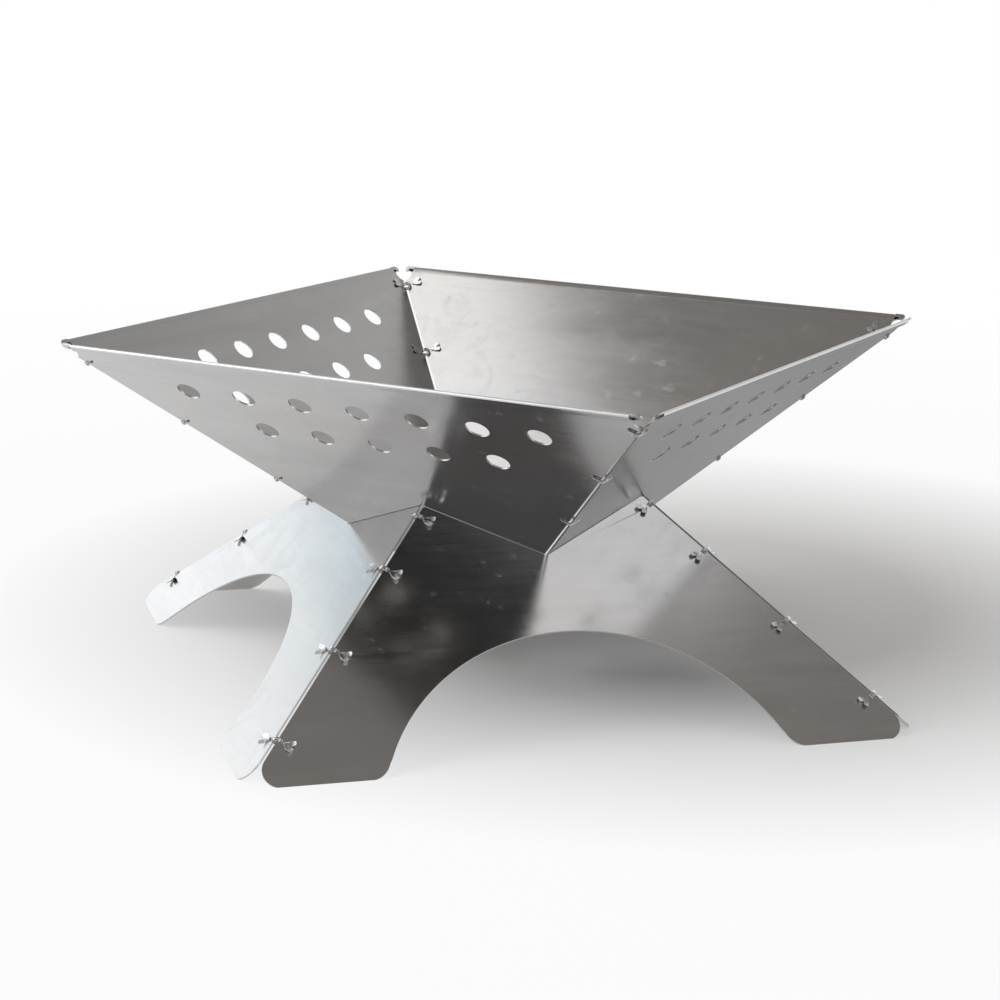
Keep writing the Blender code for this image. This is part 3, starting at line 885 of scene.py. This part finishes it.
def add_floor():
    """A floor that glows white, apart from the soft shadow, where only the lamps light it."""
    bm = bmesh.new()
    bmesh.ops.create_grid(bm, x_segments=8, y_segments=8, size=FLOOR_HALF)
    m, t = new_material("pale_floor")
    lit = t.add("ShaderNodeBsdfDiffuse", in_0=FLOOR_GREY)
    glow = t.add("ShaderNodeEmission", in_0=WHITE, in_1=1.0)
    path = t.add("ShaderNodeLightPath")
    seen = t.math("MAXIMUM", path.outputs["Is Camera Ray"], path.outputs["Is Glossy Ray"])
    seen = t.math("MAXIMUM", seen, path.outputs["Is Transmission Ray"])
    place = t.place()
    far = t.add("ShaderNodeVectorMath", operation="LENGTH")
    t.link(place, far.inputs[0])
    shade = t.add("ShaderNodeVectorMath", operation="DISTANCE", in_1=SHADE_MIDDLE)
    t.link(place, shade.inputs[0])
    near = t.remap(shade.outputs["Value"], SHADE_NEAR, SHADE_FAR, 0.0, FLOOR_GLOW)
    beyond = t.remap(far.outputs["Value"], FLOOR_NEAR, FLOOR_FAR, 0.0, 1.0 - FLOOR_GLOW)
    mixed = t.add("ShaderNodeMixShader")
    t.link(t.math("MULTIPLY", seen, t.math("ADD", near, beyond)), mixed.inputs[0])
    t.link(lit.outputs[0], mixed.inputs[1])
    t.link(glow.outputs[0], mixed.inputs[2])
    # From below, the floor is left out so that the underside can be seen
    clear = t.add("ShaderNodeBsdfTransparent")
    side = t.add("ShaderNodeMixShader")
    t.link(t.add("ShaderNodeNewGeometry").outputs["Backfacing"], side.inputs[0])
    t.link(mixed.outputs[0], side.inputs[1])
    t.link(clear.outputs[0], side.inputs[2])
    t.surface(side.outputs[0])
    mesh = mesh_of(bm, "floor")
    mesh.materials.append(m)
    new_object("floor", mesh)


def add_world():
    """White towards the horizon and grey overhead, as in a studio with a pale backdrop."""
    world = bpy.data.worlds.new("studio")
    world.use_nodes = True
    t = Nodes(world.node_tree)
    split = t.add("ShaderNodeSeparateXYZ")
    t.link(t.add("ShaderNodeTexCoord").outputs["Generated"], split.inputs[0])
    ramp = t.add("ShaderNodeValToRGB")
    t.link(split.outputs["Z"], ramp.inputs[0])
    elements = ramp.color_ramp.elements
    while len(elements) < len(SKY):
        elements.new(0.5)
    for element, (position, colour) in zip(elements, SKY):
        element.position, element.color = position, colour
    bg = t.add("ShaderNodeBackground", in_1=1.0)
    t.link(ramp.outputs[0], bg.inputs[0])
    t.surface(bg.outputs[0], "ShaderNodeOutputWorld")
    bpy.context.scene.world = world


def add_lamp(name, direction, distance, size, radiance, colour=(1, 1, 1)):
    """A soft box that faces the object; radiance is what a mirror would show."""
    light = bpy.data.lights.new(name, "AREA")
    light.shape, light.size, light.size_y = "RECTANGLE", size[0], size[1]
    light.energy = radiance * math.pi * size[0] * size[1]
    light.color = colour
    obj = new_object(name, light)
    d = Vector(direction).normalized()
    obj.location = LAMP_AIM + d * distance
    obj.rotation_euler = d.to_track_quat("Z", "Y").to_euler()
    obj.visible_camera = False


def add_lamps():
    add_lamp("key", (-0.72, -0.26, 0.66), 2.4, (1.9, 1.92), 1.3)
    add_lamp("side", (-0.81, 0.51, 0.27), 2.6, (2.2, 1.3), 0.58, (0.92, 0.97, 1.0))
    add_lamp("right", (0.95, 0.07, 0.30), 2.4, (1.3, 0.9), 0.9)
    add_lamp("fill", (-0.62, -0.66, 0.42), 2.6, (1.4, 1.2), 3.0)
    add_lamp("top", (0.34, 0.14, 0.93), 2.6, (0.46, 0.46), 1.0)


def add_card(name, bm, material):
    """A card that shows in reflections only: it casts no shadow and doesn't tint the floor."""
    mesh = mesh_of(bm, name)
    mesh.materials.append(material)
    card = new_object(name, mesh)
    card.visible_camera = False
    card.visible_diffuse = False
    card.visible_shadow = False


def add_dark_card():
    """A black card behind the camera, so that the panels keep their dark reflections; its faint glow
    higher up is painted light.
    """
    bm = bmesh.new()
    bmesh.ops.create_grid(bm, x_segments=16, y_segments=12, size=1.0)
    profile = ((CARD_NEAR, CARD_LIFT), (CARD_FAR - CARD_BEND, CARD_LIFT), (CARD_FAR, CARD_KNEE),
               (CARD_FAR, CARD_HIGH))
    for v in bm.verts:
        angle = CARD_MIDDLE + v.co.x * CARD_HALF
        place = (v.co.y + 1) / 2 * (len(profile) - 1)
        i = min(int(place), len(profile) - 2)
        (r0, z0), (r1, z1) = profile[i], profile[i + 1]
        r, z = r0 + (r1 - r0) * (place - i), z0 + (z1 - z0) * (place - i)
        v.co = Vector((r * math.cos(angle), r * math.sin(angle), z))
    m, t = new_material("black_velvet_painted_glow")
    cloth = t.add("ShaderNodeBsdfDiffuse", in_0=VELVET)
    place = t.place()
    split = t.add("ShaderNodeSeparateXYZ")
    t.link(place, split.inputs[0])
    # Painted light: the card glows more higher up
    painted_glow = t.add("ShaderNodeEmission", in_0=WHITE)
    level = t.remap(split.outputs["Z"], PAINTED_GLOW_LOW, PAINTED_GLOW_HIGH, 0.0, PAINTED_GLOW_MOST)
    patches = t.remap(t.noise(place, 1.6, 2.0, 0.5), 0.35, 0.65, 0.6, 1.5)
    t.link(t.math("MULTIPLY", level, patches), painted_glow.inputs[1])
    both = t.add("ShaderNodeAddShader")
    t.link(cloth.outputs[0], both.inputs[0])
    t.link(painted_glow.outputs[0], both.inputs[1])
    t.surface(both.outputs[0])
    add_card("dark_card", bm, m)


def add_painted_shadow_card():
    """A glowing grey sheet on the floor behind, which the right side of the bowl reflects: a painted
    shadow of the floor there.
    """
    bm = bmesh.new()
    (left, right), (near, far) = SHADOW_CARD_ACROSS, SHADOW_CARD_BACK
    corners = ((left, near), (right, near), (right, far), (left, far))
    bm.faces.new([bm.verts.new((x, y, CARD_LIFT)) for x, y in corners])
    m, t = new_material("painted_floor_shadow")
    # Painted shadow: a fixed grey glow stands for the shaded floor behind
    painted_glow = t.add("ShaderNodeEmission", in_0=WHITE)
    t.link(t.remap(t.noise(t.place(), 3.0, 2.0, 0.5), 0.3, 0.7, *PAINTED_SHADOW_GLOW), painted_glow.inputs[1])
    t.surface(painted_glow.outputs[0])
    add_card("painted_shadow_card", bm, m)


def add_blue_reflection_card():
    """A pale blue card beyond the left leg, a painted reflection that glows and is seen only in
    reflections, whose lower edge fades into the white horizon.
    """
    bm = bmesh.new()
    bmesh.ops.create_grid(bm, x_segments=8, y_segments=1, size=1.0)
    for v in bm.verts:
        angle = BLUE_MIDDLE + v.co.x * BLUE_HALF
        z = BLUE_LOW if v.co.y < 0 else BLUE_HIGH
        v.co = Vector((BLUE_FAR * math.cos(angle), BLUE_FAR * math.sin(angle), z))
    m, t = new_material("painted_blue_reflection")
    split = t.add("ShaderNodeSeparateXYZ")
    t.link(t.place(), split.inputs[0])
    share = t.remap(split.outputs["Z"], BLUE_LOW, BLUE_LOW + BLUE_FADE, 0.0, 1.0)
    # Painted reflection: the card's glow is seen only in reflections
    glow = t.add("ShaderNodeEmission", in_1=1.0)
    t.link(t.mix(share, BLUE_FOOT, BLUE), glow.inputs[0])
    t.surface(glow.outputs[0])
    add_card("blue_reflection_card", bm, m)


add_camera()
build_object()
add_floor()
add_world()
add_lamps()
add_dark_card()
add_painted_shadow_card()
add_blue_reflection_card()
bpy.context.scene.view_settings.view_transform = "Standard"
